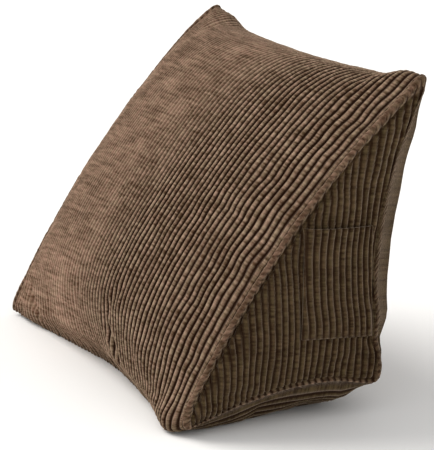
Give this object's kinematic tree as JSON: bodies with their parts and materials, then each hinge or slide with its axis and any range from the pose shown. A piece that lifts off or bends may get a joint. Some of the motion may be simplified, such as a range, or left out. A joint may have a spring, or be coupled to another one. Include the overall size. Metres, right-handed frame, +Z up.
{
  "type": "wedge reading pillow",
  "caption": "Stuffed wedge pillow in ribbed corduroy with a domed sloping front, drawn-in seams and a patch pocket on one side.",
  "frame": {"origin": "on the flat of the underside, midway between the two side panels and midway between the toe and heel corners", "axes": "+X across the width towards the side with the pocket, +Y from the toe to the upright back, +Z up"},
  "size_m": [0.4826, 0.2793, 0.3497],
  "materials": {
    "corduroy": "brown wide-wale cotton corduroy, matt pile with soft sheen",
    "pocket_corduroy": "the same corduroy, wales upright"
  },
  "bodies": {
    "root": {"cushion": "corduroy", "side_pocket": "pocket_corduroy"}
  },
  "joints": []
}
